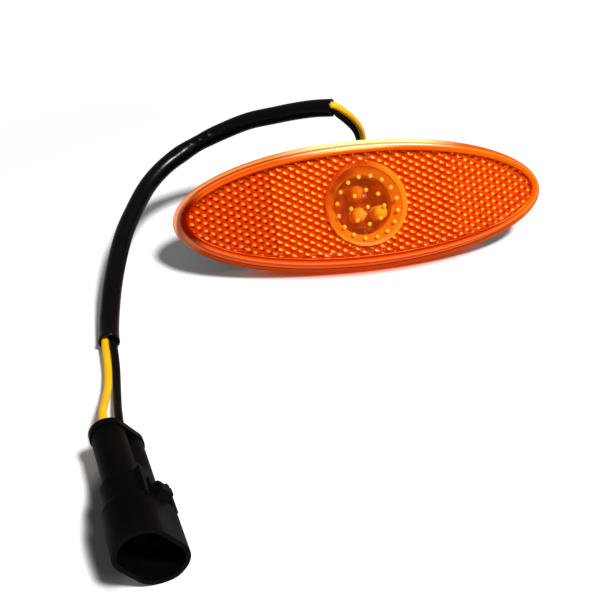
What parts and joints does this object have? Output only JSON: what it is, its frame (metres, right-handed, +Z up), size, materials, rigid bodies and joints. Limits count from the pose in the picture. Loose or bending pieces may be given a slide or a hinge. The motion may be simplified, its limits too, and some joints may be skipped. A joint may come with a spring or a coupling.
{
  "type": "side marker lamp",
  "caption": "Oval amber side marker lamp with a moulded-in prism reflector, a round clear window over diodes, a rear box, and a short sleeved lead that ends in a sealed plug.",
  "frame": {"origin": "on the table under the middle of the lamp, without its lead and plug: middle of its box in X and Y, and its lowest point in Z", "axes": "+X along the lamp's long axis, +Z up, and -Y the side that the lens faces; the lamp leans back on its rear box"},
  "size_m": [0.1475, 0.1531, 0.0458],
  "materials": {
    "amber_lens": "gloss",
    "foam": "matte",
    "black_housing": "satin",
    "pale_cup": "satin",
    "board": "satin",
    "diode_resin": "gloss",
    "chip_black": "matte",
    "chip_brown": "matte",
    "black_rubber": "matte",
    "yellow_pvc": "satin",
    "black_pvc": "satin",
    "sleeve_pvc": "gloss",
    "plug_black": "satin",
    "tin": "bright"
  },
  "bodies": {
    "root": {"lens": "amber_lens", "gasket": "foam", "rear_housing": "black_housing", "light_collar": "pale_cup", "circuit_board": "board", "led_1": "diode_resin", "led_2": "diode_resin", "led_3": "diode_resin", "led_4": "diode_resin", "resistor_1": "chip_black", "resistor_2": "chip_black", "resistor_3": "chip_black", "diode": "chip_black", "capacitor": "chip_brown", "cable_grommet": "black_rubber", "yellow_wire": "yellow_pvc", "black_wire": "black_pvc", "sleeve": "sleeve_pvc", "plug_housing": "plug_black", "plug_lock": "plug_black", "pin_1": "tin", "pin_2": "tin", "wire_seal_1": "black_rubber", "wire_seal_2": "black_rubber"}
  },
  "joints": []
}
